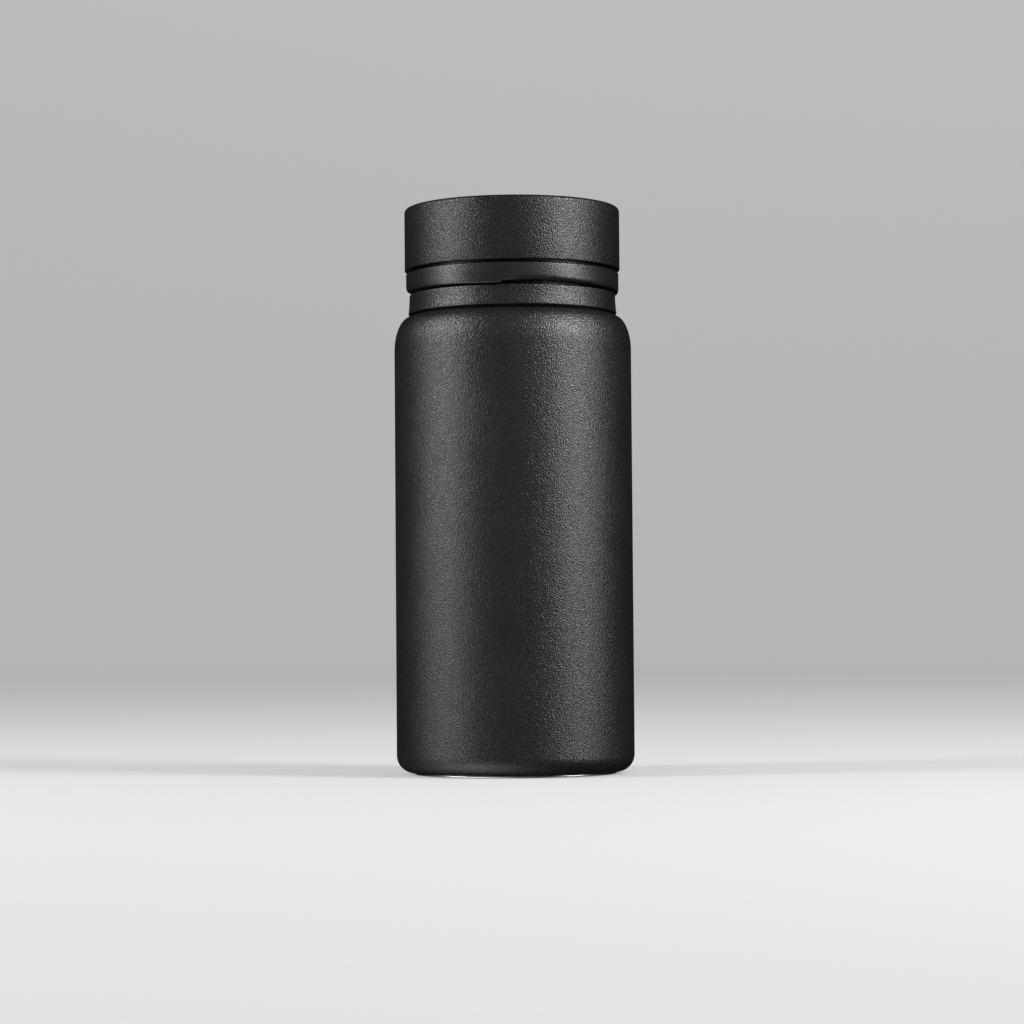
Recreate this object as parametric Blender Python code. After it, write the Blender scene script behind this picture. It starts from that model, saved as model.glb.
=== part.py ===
"""Vacuum-insulated steel bottle with a two-stage screw lid.

The bottle is a double-wall steel vessel. A plastic collar with a drinking spout screws onto its neck, and
a steel-skinned cap screws onto the collar. Every outline below is given as (radius, height) in
millimetres, and the objects are made in metres. The bottle stands on z = 0 with its axis on +Z, and its
front faces -Y.
"""
import math

import bmesh
import bpy

MM = 0.001
FACETS = 40
HIDDEN_FACETS = 24
SMALL_FACETS = 16
SHARP_ANGLE = 30

# Play between neighbouring pieces, and sheet thicknesses.
PLAY = 0.3
SHELL_SHEET = 0.5
LINER_SHEET = 0.4

# Outer shell.
BODY_RADIUS = 36.5
BASE_FILLET = 5.4
BASE_LIFT = 0.5
SHOULDER_START = 130.0
SHOULDER_WIDTH = 4.9
SHOULDER_RISE = 10.4
GROOVE_RADIUS = 31.4
BAND_RADIUS = 32.1
BAND_BOTTOM = 140.8
BAND_TOP_ROUND = 1.3
BAND_BOTTOM_ROUND = (0.8, 2.0)
LEDGE_HEIGHT = 147.3
NECK_RADIUS = 26.6
NECK_TOP = 156.6

# Inner liner.
LINER_RADIUS = 32.4
LINER_NECK_RADIUS = NECK_RADIUS - SHELL_SHEET - PLAY
LINER_SEAM = 14.0
LINER_FLOOR = 6.0
LINER_CORNER = 6.0
MOUTH_HEIGHT = 157.5
LIP_RADIUS = NECK_RADIUS + 0.1
LIP_ROUND = 0.3
WAIST_TOP = 145.0
WAIST_BOTTOM = 128.0
WAIST_CURVE = [(0.08, 142.5), (0.45, 138.5), (0.85, 134.0)]

# Reflector foil, in the gap between the walls.
FOIL_INNER_RADIUS = 33.3
FOIL_SHEET = 0.2
FOIL_TOP = 127.0
FOIL_BOTTOM = 15.0

# Threads: two starts, right-handed, the same form on the neck and on the collar.
THREAD_LEAD = 6.0
THREAD_STARTS = 2
THREAD_TURNS = 0.6
THREAD_DEPTH = 0.9
THREAD_ROOT_WIDTH = 1.2
THREAD_CREST_WIDTH = 0.6
THREAD_ROOT_SINK = 0.3
THREAD_FADE_STEPS = 3
THREAD_END_SHARE = 0.3
THREAD_CLEARANCE = 0.4
MESH_OFFSET = THREAD_LEAD / THREAD_STARTS / 2
NECK_THREAD_START = 150.7
CAP_THREAD_START = 157.0

# Collar.
RING_RADIUS = 32.8
RING_BOTTOM = LEDGE_HEIGHT + PLAY
RING_TOP = 153.7
RING_ROUND = 0.8
COLLAR_BORE = NECK_RADIUS + THREAD_DEPTH + THREAD_CLEARANCE
COLLAR_WALL_RADIUS = 29.3
COLLAR_CEILING = 159.1
COLLAR_DECK = 161.3
PLUG_RADIUS = 24.6
PLUG_BOTTOM = 155.0
PLUG_WALL = 1.4
PLUG_ROOT = 0.4
SPOUT_INNER_RADIUS = 19.2
SPOUT_RADIUS = 21.0
SPOUT_TOP = 165.9
SPOUT_ROUND = 0.5
SPOUT_ROOT = 1.2
DECK_CHAMFER = 0.8
RAMP_COUNT = 3
RAMP_RISE = 1.2
RAMP_STEP_ANGLE = -97.0
RAMP_LAND_ANGLE = 5.0
RAMP_SECTIONS = 14

# Cap.
CAP_RADIUS = 33.2
CAP_BOTTOM = 154.8
CAP_TOP = 174.0
CAP_EDGE_ROUND = 1.2
CORE_RADIUS = CAP_RADIUS - SHELL_SHEET - PLAY
CORE_BORE = COLLAR_WALL_RADIUS + THREAD_DEPTH + THREAD_CLEARANCE
CORE_BOTTOM = CAP_BOTTOM + PLAY
CORE_CEILING = 167.9
CORE_DISC = 1.2
RIB_OUTER_RADIUS = 18.1
RIB_INNER_RADIUS = 16.9
RIB_DROP = 1.0
SEAL_INNER_RADIUS = 18.4
SEAL_OUTER_RADIUS = 22.2
FOAM_CHAMFER = 0.8

# Base.
PLATE_RADIUS = BODY_RADIUS - BASE_FILLET - PLAY
PLATE_THICKNESS = 0.9
PLATE_CHAMFER = 0.2
STAMPED_RING = [(26.0, 0.0), (25.4, 0.35), (24.4, 0.35), (23.8, 0.0)]
CUP_RIM = 9.5
CUP_HOLE_RADIUS = 1.2
CUP_SEAT_RADIUS = 6.0
CUP_SEAT_SLOPE = 3.0
CUP_SEAT_RISE = 2.2

# Seal bead, getter and the clip that holds it, on the cup's floor.
BEAD_OUTLINE = [(0, 4.6), (0.9, 4.6), (0.9, 3.2), (3.2, 3.2), (3.2, 2.6), (2.2, 1.9), (0, 1.7)]
GETTER_PLACE = 16.0
GETTER_RADIUS = 3.5
GETTER_BOTTOM = 3.1
GETTER_TOP = 4.9
GETTER_CHAMFER = 0.3
CLIP_HALF_LENGTH = 4.5
CLIP_WIDTH = 5.0
CLIP_SHEET = 0.5
CLIP_BOTTOM = 2.3
CLIP_TOP = 4.6


def clear_scene():
    for item in list(bpy.data.objects):
        bpy.data.objects.remove(item, do_unlink=True)


def make_material(name, color, roughness, metallic=0.0):
    material = bpy.data.materials.new(name)
    material.use_nodes = True
    shader = material.node_tree.nodes["Principled BSDF"]
    shader.inputs["Base Color"].default_value = (*color, 1.0)
    shader.inputs["Roughness"].default_value = roughness
    shader.inputs["Metallic"].default_value = metallic
    return material


def arc(center, radii, start, end, count):
    """Points of an elliptical arc, from one angle to another in degrees, both ends included."""
    points = []
    for index in range(count):
        angle = math.radians(start + (end - start) * index / (count - 1))
        points.append((center[0] + radii[0] * math.cos(angle), center[1] + radii[1] * math.sin(angle)))
    return points


def add_object(name, bm, material):
    """Close a bmesh into a smooth-shaded object whose faces point out."""
    bmesh.ops.remove_doubles(bm, verts=bm.verts, dist=0.001 * MM)
    bmesh.ops.recalc_face_normals(bm, faces=bm.faces)
    mesh = bpy.data.meshes.new(name)
    bm.to_mesh(mesh)
    bm.free()
    mesh.shade_smooth()
    mesh.set_sharp_from_angle(angle=math.radians(SHARP_ANGLE))
    if material:
        mesh.materials.append(material)
    item = bpy.data.objects.new(name, mesh)
    bpy.context.scene.collection.objects.link(item)
    return item


def turned(name, outline, material, facets=FACETS):
    """Spin an outline about the Z axis. An outline that starts and ends on the axis stays open there."""
    bm = bmesh.new()
    verts = [bm.verts.new((radius * MM, 0.0, height * MM)) for radius, height in outline]
    edges = [bm.edges.new(pair) for pair in zip(verts, verts[1:])]
    if outline[0][0] > 0:
        edges.append(bm.edges.new((verts[-1], verts[0])))
    bmesh.ops.spin(bm, geom=verts + edges, cent=(0, 0, 0), axis=(0, 0, 1), angle=math.tau, steps=facets)
    return add_object(name, bm, material)


def swept_body(name, sections):
    """Join four-cornered sections, each a list of points in metres, into one closed tool body."""
    bm = bmesh.new()
    rings = [[bm.verts.new(point) for point in section] for section in sections]
    for near, far in zip(rings, rings[1:]):
        for index in range(len(near)):
            following = (index + 1) % len(near)
            bm.faces.new((near[index], near[following], far[following], far[index]))
    bm.faces.new(rings[0])
    bm.faces.new(list(reversed(rings[-1])))
    item = add_object(name, bm, None)
    item.hide_render = True
    item.display_type = "WIRE"
    return item


def cylindrical(radius, angle, height):
    return (radius * MM * math.cos(angle), radius * MM * math.sin(angle), height * MM)


def thread_ridge(name, wall_radius, depth, start_height, start_angle):
    """One start of a thread, on a wall whose ridge grows out by depth (inward when negative)."""
    steps = round(FACETS * THREAD_TURNS)
    sink = math.copysign(THREAD_ROOT_SINK, depth)
    sections = []
    for index in range(steps + 1):
        angle = start_angle + math.tau * index / FACETS
        height = start_height + THREAD_LEAD * index / FACETS
        fade = min(1.0, index / THREAD_FADE_STEPS, (steps - index) / THREAD_FADE_STEPS)
        start_depth = -THREAD_END_SHARE * sink
        crest = wall_radius + start_depth + fade * (depth - start_depth)
        sections.append([
            cylindrical(wall_radius - sink, angle, height - THREAD_ROOT_WIDTH / 2),
            cylindrical(crest, angle, height - THREAD_CREST_WIDTH / 2),
            cylindrical(crest, angle, height + THREAD_CREST_WIDTH / 2),
            cylindrical(wall_radius - sink, angle, height + THREAD_ROOT_WIDTH / 2),
        ])
    return swept_body(name, sections)


def apply_tool(item, tool, operation):
    modifier = item.modifiers.new(tool.name, "BOOLEAN")
    modifier.operation = operation
    modifier.solver = "EXACT"
    modifier.object = tool


def add_thread(item, label, wall_radius, depth, start_height):
    for start in range(THREAD_STARTS):
        angle = math.tau * start / THREAD_STARTS
        ridge = thread_ridge(f"{label}_ridge_{start + 1}", wall_radius, depth, start_height, angle)
        apply_tool(item, ridge, "UNION")


def make_outer_shell(material):
    """The outer wall: threaded neck, ledge, neck band, groove, shoulder, body and base fillet."""
    fillet_center = (BODY_RADIUS - BASE_FILLET, BASE_LIFT + BASE_FILLET)
    shoulder_center = (BODY_RADIUS - SHOULDER_WIDTH, SHOULDER_START)
    band_top_center = (BAND_RADIUS - BAND_TOP_ROUND, LEDGE_HEIGHT - BAND_TOP_ROUND)
    band_bottom_center = (BAND_RADIUS - BAND_BOTTOM_ROUND[0], BAND_BOTTOM + BAND_BOTTOM_ROUND[1])
    inner_fillet = BASE_FILLET - SHELL_SHEET
    inner_shoulder = (SHOULDER_WIDTH - SHELL_SHEET, SHOULDER_RISE - SHELL_SHEET)
    inner_groove = GROOVE_RADIUS - SHELL_SHEET
    inner_band_top = BAND_TOP_ROUND - SHELL_SHEET
    inner_band_bottom = (BAND_BOTTOM_ROUND[0] - SHELL_SHEET, BAND_BOTTOM_ROUND[1] - SHELL_SHEET)
    outline = [(NECK_RADIUS, NECK_TOP), (NECK_RADIUS, LEDGE_HEIGHT)]
    outline += arc(band_top_center, (BAND_TOP_ROUND,) * 2, 90, 0, 4)
    outline += arc(band_bottom_center, BAND_BOTTOM_ROUND, 0, -80, 4)
    outline += arc(shoulder_center, (SHOULDER_WIDTH, SHOULDER_RISE), 86, 0, 7)
    outline += arc(fillet_center, (BASE_FILLET,) * 2, 0, -90, 5)
    outline += arc(fillet_center, (inner_fillet,) * 2, -90, 0, 4)
    outline += arc(shoulder_center, inner_shoulder, 0, 72, 4)
    outline += [
        (inner_groove, SHOULDER_START + SHOULDER_RISE - SHELL_SHEET),
        (inner_groove, BAND_BOTTOM + 0.1),
    ]
    outline += arc(band_bottom_center, inner_band_bottom, -80, 0, 2)
    outline += arc(band_top_center, (inner_band_top,) * 2, 0, 90, 3)
    outline += [
        (NECK_RADIUS - SHELL_SHEET, LEDGE_HEIGHT - SHELL_SHEET),
        (NECK_RADIUS - SHELL_SHEET, NECK_TOP),
    ]
    shell = turned("outer_shell", outline, material)
    add_thread(shell, "neck", NECK_RADIUS, THREAD_DEPTH, NECK_THREAD_START)
    return shell


def liner_side(radius, neck_radius):
    """The liner's wall from the neck down to the seam, shared by its outer and inner faces."""
    reach = radius - neck_radius
    curve = [(neck_radius + share * reach, height) for share, height in WAIST_CURVE]
    return [(neck_radius, WAIST_TOP), *curve, (radius, WAIST_BOTTOM), (radius, LINER_SEAM)]


def make_inner_liner(material):
    """The inner wall, with a lip rolled out over the shell's neck."""
    lip_bottom = NECK_TOP + PLAY
    neck_bore = LINER_NECK_RADIUS - LINER_SHEET
    outline = [
        (neck_bore, MOUTH_HEIGHT - LIP_ROUND),
        (neck_bore + LIP_ROUND, MOUTH_HEIGHT),
        (LIP_RADIUS - LIP_ROUND, MOUTH_HEIGHT),
        (LIP_RADIUS, MOUTH_HEIGHT - LIP_ROUND),
        (LIP_RADIUS, lip_bottom),
        (LINER_NECK_RADIUS, lip_bottom),
    ]
    outline += liner_side(LINER_RADIUS, LINER_NECK_RADIUS)
    outline += reversed(liner_side(LINER_RADIUS - LINER_SHEET, neck_bore))
    return turned("inner_liner", outline, material)


def make_liner_bottom(material):
    """The dished bottom that is welded into the liner."""
    center = (LINER_RADIUS - LINER_CORNER, LINER_FLOOR + LINER_CORNER)
    inner_corner = LINER_CORNER - LINER_SHEET
    outline = [(0, LINER_FLOOR + LINER_SHEET)]
    outline += arc(center, (inner_corner,) * 2, -90, 0, 4)
    outline += [
        (LINER_RADIUS - LINER_SHEET, LINER_SEAM - PLAY),
        (LINER_RADIUS, LINER_SEAM - PLAY),
    ]
    outline += arc(center, (LINER_CORNER,) * 2, 0, -90, 4)
    outline += [(0, LINER_FLOOR)]
    return turned("liner_bottom", outline, material)


def make_bottom_cup(material):
    """The shell's closing cup, with a raised seat for the seal bead at its center."""
    center = (BODY_RADIUS - BASE_FILLET, BASE_LIFT + BASE_FILLET)
    lower = BASE_FILLET - SHELL_SHEET - PLAY
    upper = lower - SHELL_SHEET
    floor = center[1] - lower
    seat = floor + CUP_SEAT_RISE
    seat_foot = CUP_SEAT_RADIUS + CUP_SEAT_SLOPE
    outline = [(center[0] + upper, CUP_RIM), (center[0] + lower, CUP_RIM)]
    outline += arc(center, (lower,) * 2, 0, -90, 3)
    outline += [
        (seat_foot, floor),
        (CUP_SEAT_RADIUS, seat),
        (CUP_HOLE_RADIUS, seat),
        (CUP_HOLE_RADIUS, seat + SHELL_SHEET),
        (CUP_SEAT_RADIUS + PLAY, seat + SHELL_SHEET),
        (seat_foot + PLAY, floor + SHELL_SHEET),
    ]
    outline += arc(center, (upper,) * 2, -90, 0, 3)
    return turned("bottom_cup", outline, material)


def make_seal_bead(material):
    """The bead that closes the evacuation hole from below."""
    return turned("seal_bead", BEAD_OUTLINE, material, SMALL_FACETS)


def make_getter(material):
    """The pill that keeps the vacuum, lying in its clip."""
    flat = GETTER_RADIUS - GETTER_CHAMFER
    outline = [
        (0, GETTER_TOP),
        (flat, GETTER_TOP),
        (GETTER_RADIUS, GETTER_TOP - GETTER_CHAMFER),
        (GETTER_RADIUS, GETTER_BOTTOM + GETTER_CHAMFER),
        (flat, GETTER_BOTTOM),
        (0, GETTER_BOTTOM),
    ]
    getter = turned("getter", outline, material, SMALL_FACETS)
    getter.location.x = GETTER_PLACE * MM
    return getter


def make_getter_clip(material):
    """A U-shaped strip that holds the getter on the cup's floor."""
    half, inner = CLIP_HALF_LENGTH, CLIP_HALF_LENGTH - CLIP_SHEET
    floor = CLIP_BOTTOM + CLIP_SHEET
    corners = [
        (-half, CLIP_BOTTOM),
        (half, CLIP_BOTTOM),
        (half, CLIP_TOP),
        (inner, CLIP_TOP),
        (inner, floor),
        (-inner, floor),
        (-inner, CLIP_TOP),
        (-half, CLIP_TOP),
    ]
    bm = bmesh.new()
    verts = [bm.verts.new((x * MM, -CLIP_WIDTH / 2 * MM, z * MM)) for x, z in corners]
    face = bm.faces.new(verts)
    made = bmesh.ops.extrude_face_region(bm, geom=[face])
    moved = [element for element in made["geom"] if isinstance(element, bmesh.types.BMVert)]
    bmesh.ops.translate(bm, verts=moved, vec=(0, CLIP_WIDTH * MM, 0))
    clip = add_object("getter_clip", bm, material)
    clip.location.x = GETTER_PLACE * MM
    return clip


def make_reflector_foil(material):
    """The heat-reflecting foil wrapped round the liner inside the vacuum."""
    inner, outer = FOIL_INNER_RADIUS, FOIL_INNER_RADIUS + FOIL_SHEET
    outline = [(outer, FOIL_TOP), (outer, FOIL_BOTTOM), (inner, FOIL_BOTTOM), (inner, FOIL_TOP)]
    return turned("reflector_foil", outline, material, HIDDEN_FACETS)


def make_base_plate(material):
    """The bare disc the bottle stands on, with one shallow stamped ring."""
    outline = [
        (0, PLATE_THICKNESS),
        (PLATE_RADIUS - PLATE_CHAMFER, PLATE_THICKNESS),
        (PLATE_RADIUS, PLATE_THICKNESS - PLATE_CHAMFER),
        (PLATE_RADIUS, PLATE_CHAMFER),
        (PLATE_RADIUS - PLATE_CHAMFER, 0),
        *STAMPED_RING,
        (0, 0),
    ]
    return turned("base_plate", outline, material)


def ramp_cutter(index):
    """One of the shallow ramps cut into the ring's lower edge, deepest at its step."""
    span = 360 / RAMP_COUNT - RAMP_LAND_ANGLE
    start = RAMP_STEP_ANGLE + 360 / RAMP_COUNT * index
    low = RING_BOTTOM - 0.5
    sections = []
    for section in range(RAMP_SECTIONS + 1):
        share = section / RAMP_SECTIONS
        angle = math.radians(start + span * share)
        top = RING_BOTTOM + RAMP_RISE - (RAMP_RISE + 0.05) * share
        sections.append([
            cylindrical(COLLAR_BORE - 1, angle, low),
            cylindrical(RING_RADIUS + 1, angle, low),
            cylindrical(RING_RADIUS + 1, angle, top),
            cylindrical(COLLAR_BORE - 1, angle, top),
        ])
    return swept_body(f"ramp_{index + 1}", sections)


def make_collar(material):
    """The screw-on collar: visible ring, threaded wall, deck, plug and drinking spout."""
    outline = [
        (SPOUT_INNER_RADIUS, SPOUT_TOP - SPOUT_ROUND),
        (SPOUT_INNER_RADIUS + SPOUT_ROUND, SPOUT_TOP),
        (SPOUT_RADIUS - SPOUT_ROUND, SPOUT_TOP),
        (SPOUT_RADIUS, SPOUT_TOP - SPOUT_ROUND),
        (SPOUT_RADIUS, COLLAR_DECK + SPOUT_ROOT),
        (SPOUT_RADIUS + SPOUT_ROOT, COLLAR_DECK),
        (COLLAR_WALL_RADIUS - DECK_CHAMFER, COLLAR_DECK),
        (COLLAR_WALL_RADIUS, COLLAR_DECK - DECK_CHAMFER),
        (COLLAR_WALL_RADIUS, RING_TOP),
        (RING_RADIUS - 0.2, RING_TOP),
        (RING_RADIUS, RING_TOP - 0.2),
    ]
    outline += arc((RING_RADIUS - RING_ROUND, RING_BOTTOM + RING_ROUND), (RING_ROUND,) * 2, 0, -90, 3)
    outline += [
        (COLLAR_BORE, RING_BOTTOM),
        (COLLAR_BORE, COLLAR_CEILING),
        (PLUG_RADIUS, COLLAR_CEILING),
        (PLUG_RADIUS, PLUG_BOTTOM),
        (PLUG_RADIUS - PLUG_WALL, PLUG_BOTTOM),
        (PLUG_RADIUS - PLUG_WALL, COLLAR_CEILING + PLUG_ROOT),
        (SPOUT_INNER_RADIUS, COLLAR_DECK),
    ]
    collar = turned("collar", outline, material)
    add_thread(collar, "collar_bore", COLLAR_BORE, -THREAD_DEPTH, NECK_THREAD_START - MESH_OFFSET)
    add_thread(collar, "collar_wall", COLLAR_WALL_RADIUS, THREAD_DEPTH, CAP_THREAD_START)
    for index in range(RAMP_COUNT):
        apply_tool(collar, ramp_cutter(index), "DIFFERENCE")
    return collar


def make_collar_gasket(material):
    """The flat ring between the bottle's mouth and the collar's ceiling."""
    inner, outer = PLUG_RADIUS + PLAY, NECK_RADIUS + THREAD_DEPTH
    top, bottom = COLLAR_CEILING - PLAY, MOUTH_HEIGHT + PLAY
    outline = [(inner, top), (outer, top), (outer, bottom), (inner, bottom)]
    return turned("collar_gasket", outline, material)


def make_cap_shell(material):
    """The cap's drawn steel skin."""
    edge_center = (CAP_RADIUS - CAP_EDGE_ROUND, CAP_TOP - CAP_EDGE_ROUND)
    inner_edge = CAP_EDGE_ROUND - SHELL_SHEET
    outline = [(0, CAP_TOP)]
    outline += arc(edge_center, (CAP_EDGE_ROUND,) * 2, 90, 0, 4)
    outline += [(CAP_RADIUS, CAP_BOTTOM), (CAP_RADIUS - SHELL_SHEET, CAP_BOTTOM)]
    outline += arc(edge_center, (inner_edge,) * 2, 0, 90, 2)
    outline += [(0, CAP_TOP - SHELL_SHEET)]
    return turned("cap_shell", outline, material)


def make_cap_core(material):
    """The threaded plastic cup inside the cap, with a rib that keeps the seal centered."""
    top = CORE_CEILING + CORE_DISC
    rib_bottom = CORE_CEILING - RIB_DROP
    outline = [
        (0, top),
        (CORE_RADIUS, top),
        (CORE_RADIUS, CORE_BOTTOM),
        (CORE_BORE, CORE_BOTTOM),
        (CORE_BORE, CORE_CEILING),
        (RIB_OUTER_RADIUS, CORE_CEILING),
        (RIB_OUTER_RADIUS, rib_bottom),
        (RIB_INNER_RADIUS, rib_bottom),
        (RIB_INNER_RADIUS, CORE_CEILING),
        (0, CORE_CEILING),
    ]
    core = turned("cap_core", outline, material)
    add_thread(core, "cap_bore", CORE_BORE, -THREAD_DEPTH, CAP_THREAD_START - MESH_OFFSET)
    return core


def make_cap_insulation(material):
    """The foam disc between the cap's core and its skin."""
    bottom = CORE_CEILING + CORE_DISC + PLAY
    top = CAP_TOP - SHELL_SHEET - PLAY
    radius = CORE_RADIUS - 0.5
    outline = [
        (0, top),
        (radius - FOAM_CHAMFER, top),
        (radius, top - FOAM_CHAMFER),
        (radius, bottom),
        (0, bottom),
    ]
    return turned("cap_insulation", outline, material, HIDDEN_FACETS)


def make_cap_seal(material):
    """The ring that the cap presses onto the spout's rim."""
    top, bottom = CORE_CEILING - PLAY, SPOUT_TOP + PLAY
    outline = [
        (SEAL_INNER_RADIUS, top),
        (SEAL_OUTER_RADIUS, top),
        (SEAL_OUTER_RADIUS, bottom),
        (SEAL_INNER_RADIUS, bottom),
    ]
    return turned("cap_seal", outline, material)


def build():
    clear_scene()
    powder_coat = make_material("black_powder_coat", (0.012, 0.012, 0.013), 0.5)
    bare_steel = make_material("bare_steel", (0.55, 0.55, 0.56), 0.3, 1.0)
    black_plastic = make_material("black_plastic", (0.014, 0.014, 0.015), 0.35)
    silicone = make_material("silicone", (0.35, 0.36, 0.37), 0.55)
    solder = make_material("solder", (0.5, 0.5, 0.5), 0.4, 1.0)
    getter_alloy = make_material("getter_alloy", (0.12, 0.12, 0.13), 0.6, 1.0)
    copper_foil = make_material("copper_foil", (0.75, 0.38, 0.24), 0.25, 1.0)
    foam = make_material("foam", (0.75, 0.74, 0.70), 0.9)
    vessel = [
        make_outer_shell(powder_coat),
        make_inner_liner(bare_steel),
        make_liner_bottom(bare_steel),
        make_bottom_cup(bare_steel),
        make_base_plate(bare_steel),
        make_seal_bead(solder),
        make_getter(getter_alloy),
        make_getter_clip(bare_steel),
        make_reflector_foil(copper_foil),
    ]
    lid = [make_collar(black_plastic), make_collar_gasket(silicone)]
    cap = [
        make_cap_shell(powder_coat),
        make_cap_core(black_plastic),
        make_cap_insulation(foam),
        make_cap_seal(silicone),
    ]
    for label, items in (("vessel", vessel), ("drinking_lid", lid), ("cap", cap)):
        group = bpy.data.objects.new(label, None)
        bpy.context.scene.collection.objects.link(group)
        for item in items:
            item.parent = group


build()
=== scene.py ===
"""Looks of the insulated bottle: fine meshes, materials, a plain pale studio and the camera.

Lengths in the outlines are millimetres as (radius, height); the frame and every object are in metres. The
CAD frame gives the overall sizes, and the details between them repeat the CAD's own named dimensions, with
small roundings added. The neck band's flare and edges, the groove's depth and the ring's softer step follow
the photo more closely than the CAD does.
"""
import math

import bmesh
import bpy
from mathutils import Matrix, Vector


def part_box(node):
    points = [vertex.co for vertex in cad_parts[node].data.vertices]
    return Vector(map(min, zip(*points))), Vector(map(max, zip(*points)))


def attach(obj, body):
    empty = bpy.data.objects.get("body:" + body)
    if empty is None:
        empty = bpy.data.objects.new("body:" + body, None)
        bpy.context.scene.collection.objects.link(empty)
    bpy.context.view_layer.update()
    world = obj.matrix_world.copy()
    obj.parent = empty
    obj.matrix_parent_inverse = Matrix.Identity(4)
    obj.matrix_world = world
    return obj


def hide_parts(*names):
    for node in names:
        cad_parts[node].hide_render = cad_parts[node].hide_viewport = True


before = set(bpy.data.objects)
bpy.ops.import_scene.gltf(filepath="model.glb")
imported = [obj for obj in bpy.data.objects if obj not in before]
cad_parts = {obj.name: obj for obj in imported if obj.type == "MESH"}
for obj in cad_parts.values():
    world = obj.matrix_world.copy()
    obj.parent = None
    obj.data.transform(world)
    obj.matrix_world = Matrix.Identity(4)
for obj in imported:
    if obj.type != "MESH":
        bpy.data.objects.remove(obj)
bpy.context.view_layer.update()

MM = 0.001
SEGMENTS = 192

# Lengths nearer than this, in millimetres, count as the same.
SAME = 1e-4


def top_mm(node):
    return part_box(node)[1].z / MM


def bottom_mm(node):
    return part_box(node)[0].z / MM


def radius_mm(node):
    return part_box(node)[1].x / MM


# Sizes read from the frame.
BODY_RADIUS = radius_mm("outer_shell")
NECK_TOP = top_mm("outer_shell")
SHELL_BOTTOM = bottom_mm("outer_shell")
MOUTH_HEIGHT = top_mm("inner_liner")
LINER_RADIUS = radius_mm("inner_liner")
LINER_SEAM = bottom_mm("inner_liner")
LINER_FLOOR = bottom_mm("liner_bottom")
PLATE_RADIUS = radius_mm("base_plate")
PLATE_TOP = top_mm("base_plate")
RING_RADIUS = radius_mm("collar")
RING_BOTTOM = bottom_mm("collar")
SPOUT_TOP = top_mm("collar")
CAP_RADIUS = radius_mm("cap_shell")
CAP_BOTTOM = bottom_mm("cap_shell")
CAP_TOP = top_mm("cap_shell")
CORE_RADIUS = radius_mm("cap_core")
CORE_BOTTOM = bottom_mm("cap_core")
CORE_TOP = top_mm("cap_core")

# Details of the shell and liner.
PLAY = 0.3
EDGE_ROUND = 0.3
SHELL_SHEET = 0.5
LINER_SHEET = 0.4
BASE_FILLET = BODY_RADIUS - PLATE_RADIUS - PLAY
SHOULDER_START = 130.0
SHOULDER_WIDTH = 4.9
SHOULDER_RISE = 10.4
SHOULDER_TOP = SHOULDER_START + SHOULDER_RISE
SHOULDER_TOP_ANGLE = 80
SHOULDER_INNER_ANGLE = 72
GROOVE_RADIUS = 30.7
GROOVE_DROP = 0.16
BAND_RADIUS = 32.1
BAND_BOTTOM = 141.2
BAND_FLARE = 0.35
BAND_TOP_ROUND = 0.35
BAND_LIP_ROUND = (0.3, 0.4)
LEDGE_HEIGHT = RING_BOTTOM - PLAY
NECK_RADIUS = 26.6
LINER_NECK_RADIUS = NECK_RADIUS - SHELL_SHEET - PLAY
LINER_CORNER = 6.0
LINER_FLAT_RADIUS = 12.0
WAIST_TOP = 145.0
WAIST_BOTTOM = 128.0
WAIST_POWER = 0.8
MOUTH_LIP_OVERHANG = 0.1
MOUTH_LIP_ROUND = 0.28
WELD_RADII = (0.3, 0.35)
WELD_RIPPLES = 160
WELD_RIPPLE_DEPTH = 0.03

# The ring that is stamped up into the base plate.
STAMP_OUTER = 26.0
STAMP_INNER = 23.8
STAMP_SLOPE = 0.6
STAMP_DEPTH = 0.35

# Threads, the same on the neck and on the collar. A bore's thread lies half a spacing below the one it meets.
THREAD_LEAD = 6.0
THREAD_STARTS = 2
THREAD_TURNS = 0.6
THREAD_DEPTH = 0.9
THREAD_ROOT_WIDTH = 1.2
THREAD_CREST_WIDTH = 0.5
THREAD_FADE = math.radians(20)
THREAD_ROW = 0.15
THREAD_PLAY = 0.4
BORE_THREAD_DROP = THREAD_LEAD / THREAD_STARTS / 2
NECK_THREAD_START = 150.7
CAP_THREAD_START = 157.0

# Details of the collar.
RING_TOP = 153.7
COLLAR_BORE = NECK_RADIUS + THREAD_DEPTH + THREAD_PLAY
COLLAR_WALL_RADIUS = 29.3
COLLAR_CEILING = 159.1
COLLAR_DECK = 161.3
PLUG_RADIUS = 24.6
PLUG_BOTTOM = 155.0
PLUG_WALL = 1.4
PLUG_RECESS = 0.4
SPOUT_INNER_RADIUS = 19.2
SPOUT_RADIUS = 21.0

# Ramps of the ring's lower edge.
RAMP_COUNT = 3
RAMP_RISE = 1.2
RAMP_STEP_ANGLE = math.radians(-97.0)
RAMP_STEP_WIDTH = math.radians(1.5)
RAMP_STEP_SHARE = 0.5
RAMP_RUN = math.radians(20.0)
RAMP_LAND_ANGLE = math.radians(5.0)
RAMP_REACH = 2.6
RAMP_ROUND_HEIGHT = 1.6
RAMP_ROUND_DEPTH = 1.0
RAMP_ROUND_POWER = 2.5

# Details of the cap.
CAP_EDGE_ROUND = 1.2
CAP_RIM = 3.0
CORE_BORE = COLLAR_WALL_RADIUS + THREAD_DEPTH + THREAD_PLAY
CORE_DISC = 1.2
CORE_CEILING = CORE_TOP - CORE_DISC
RIB_OUTER = 18.1
RIB_INNER = 16.9
RIB_DROP = 1.0
SEAL_BORE = 18.4

# The powder coat's and the plastic's fine grain.
GRAIN_SIZE = 0.38
GRAIN_DEPTH = 0.145

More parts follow.
